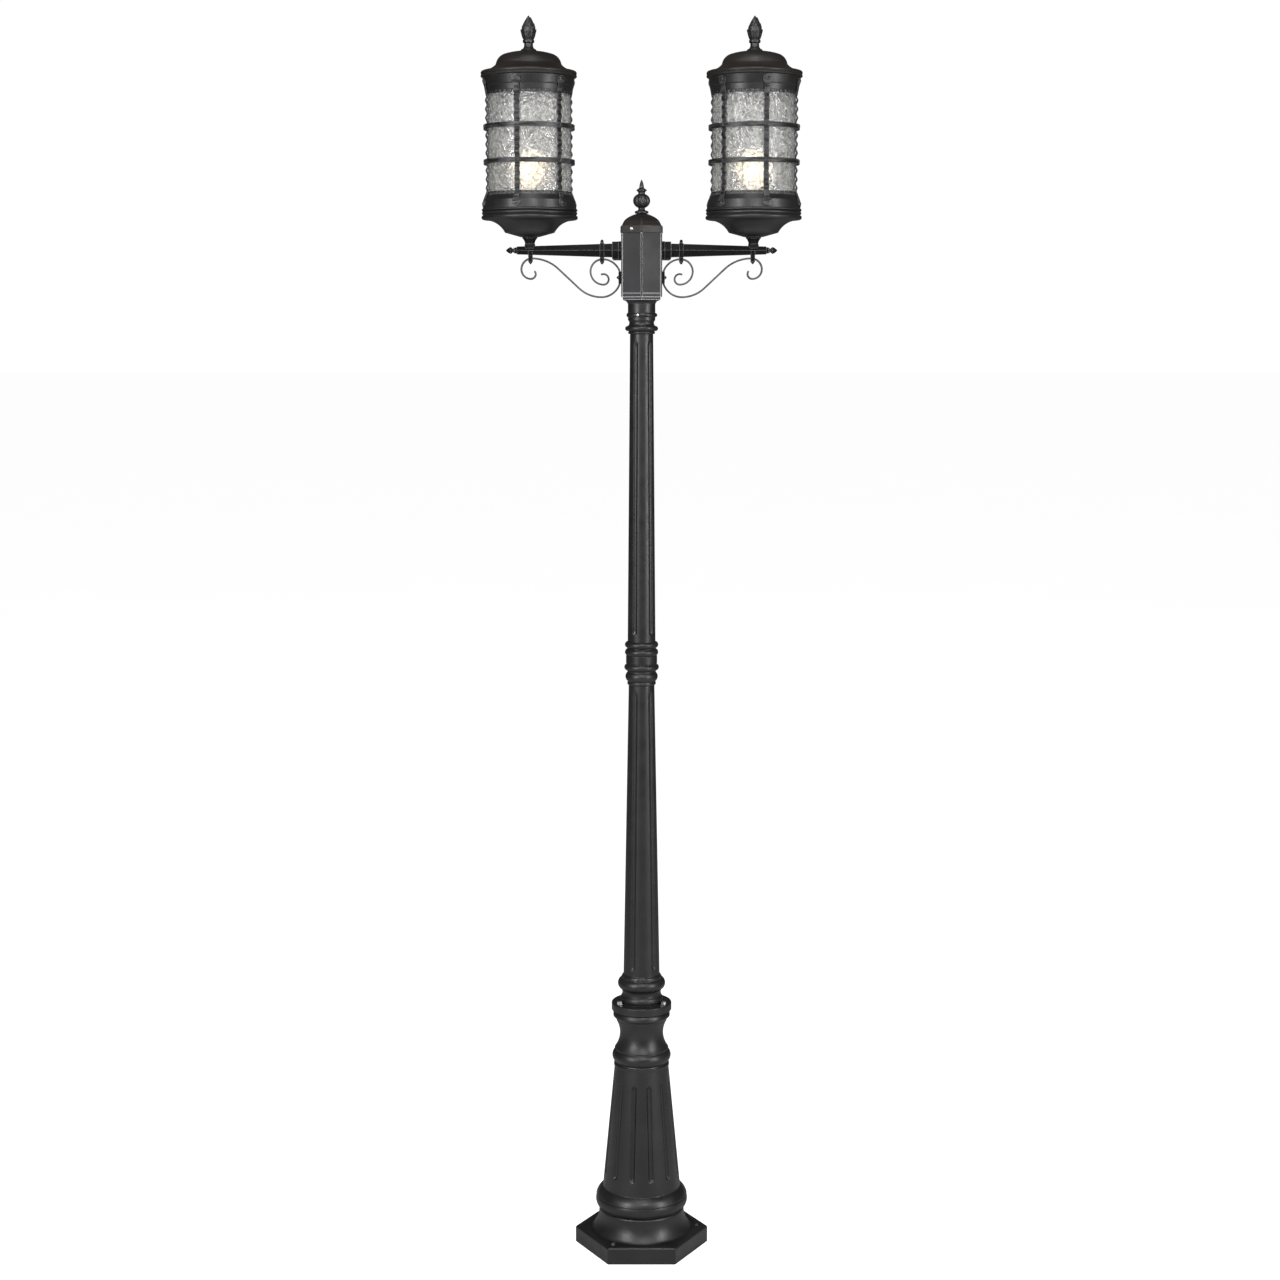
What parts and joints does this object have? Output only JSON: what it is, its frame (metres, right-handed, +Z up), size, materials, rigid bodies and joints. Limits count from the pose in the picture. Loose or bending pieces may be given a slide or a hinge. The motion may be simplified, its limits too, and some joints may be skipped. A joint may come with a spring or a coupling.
{
  "type": "street lamp post",
  "caption": "Black cast garden lamp post: hexagonal foot, fluted cone base, tapered fluted pole, hexagonal head with scrolled arms carrying round glass lanterns.",
  "frame": {"origin": "centre of the foot plate's underside, on the ground", "axes": "+Z up along the post, +X along the right-hand arm, -Y is the front"},
  "size_m": [0.592, 0.2252, 2.35],
  "materials": {
    "black_coat": "satin powder coat, fine grain",
    "box_coat": "satin powder coat, fine grain",
    "brown_coat": "satin powder coat, brown patina",
    "strap_iron": "satin, hammered",
    "scroll_iron": "satin, hammered",
    "zinc": "zinc plated",
    "steel_tube": "yellow passivated",
    "clear_glass": "clear, hammered and seeded",
    "gasket_rubber": "matt",
    "holder_ceramic": "glazed",
    "lamp_glass": "frosted, lit",
    "terminal_plastic": "matt"
  },
  "bodies": {
    "root": {"base_casting": "black_coat", "lower_pole": "black_coat", "flange_bolts": "zinc", "lower_collar": "black_coat", "upper_collar": "black_coat", "coupling_nipple": "steel_tube", "upper_pole": "black_coat", "head_socket": "black_coat", "socket_screws": "zinc", "head_box": "box_coat", "terminal_block": "terminal_plastic", "arm_bolts": "zinc", "arm_socket_left": "black_coat", "arm_socket_right": "black_coat", "arm_left": "black_coat", "arm_right": "black_coat", "arm_tip_left": "black_coat", "arm_tip_right": "black_coat", "scroll_left": "scroll_iron", "scroll_right": "scroll_iron", "scroll_clamps_left": "black_coat", "scroll_clamps_right": "black_coat", "scroll_foot_left": "black_coat", "scroll_foot_right": "black_coat", "lantern_neck_left": "black_coat", "lantern_neck_right": "black_coat", "lantern_pan_left": "black_coat", "lantern_pan_right": "black_coat", "lower_band_left": "black_coat", "lower_band_right": "black_coat", "threaded_tube_left": "steel_tube", "threaded_tube_right": "steel_tube", "lamp_holder_left": "holder_ceramic", "lamp_holder_right": "holder_ceramic", "glass_left": "clear_glass", "glass_right": "clear_glass", "glass_gasket_left": "gasket_rubber", "glass_gasket_right": "gasket_rubber", "straps_left": "strap_iron", "straps_right": "strap_iron", "hoops_left": "strap_iron", "hoops_right": "strap_iron", "strap_rivets_left": "strap_iron", "strap_rivets_right": "strap_iron", "strap_screws_left": "strap_iron", "strap_screws_right": "strap_iron", "upper_band_left": "black_coat", "upper_band_right": "black_coat", "lid_bridge_left": "zinc", "lid_bridge_right": "zinc"},
    "head_cap": {"head_cap": "brown_coat", "cap_screws": "zinc", "cap_finial": "black_coat"},
    "lid_left": {"lid_left": "brown_coat"},
    "finial_left": {"finial_left": "black_coat"},
    "lamp_left": {"lamp_left": "lamp_glass"},
    "lid_right": {"lid_right": "brown_coat"},
    "finial_right": {"finial_right": "black_coat"},
    "lamp_right": {"lamp_right": "lamp_glass"}
  },
  "joints": [
    {"name": "head_cap_lift", "type": "slide", "parent": "root", "child": "head_cap", "axis": [0, 0, 1], "range_m": [0, 0.05]},
    {"name": "lid_left_lift", "type": "slide", "parent": "root", "child": "lid_left", "axis": [0, 0, 1], "range_m": [0, 0.09]},
    {"name": "finial_left_turn", "type": "hinge", "parent": "lid_left", "child": "finial_left", "pos_m": [-0.207, 0, 2.3], "axis": [0, 0, 1], "continuous": true},
    {"name": "lamp_left_turn", "type": "hinge", "parent": "root", "child": "lamp_left", "pos_m": [-0.207, 0, 2.03], "axis": [0, 0, 1], "continuous": true},
    {"name": "lid_right_lift", "type": "slide", "parent": "root", "child": "lid_right", "axis": [0, 0, 1], "range_m": [0, 0.09]},
    {"name": "finial_right_turn", "type": "hinge", "parent": "lid_right", "child": "finial_right", "pos_m": [0.207, 0, 2.3], "axis": [0, 0, 1], "continuous": true},
    {"name": "lamp_right_turn", "type": "hinge", "parent": "root", "child": "lamp_right", "pos_m": [0.207, 0, 2.03], "axis": [0, 0, 1], "continuous": true}
  ]
}
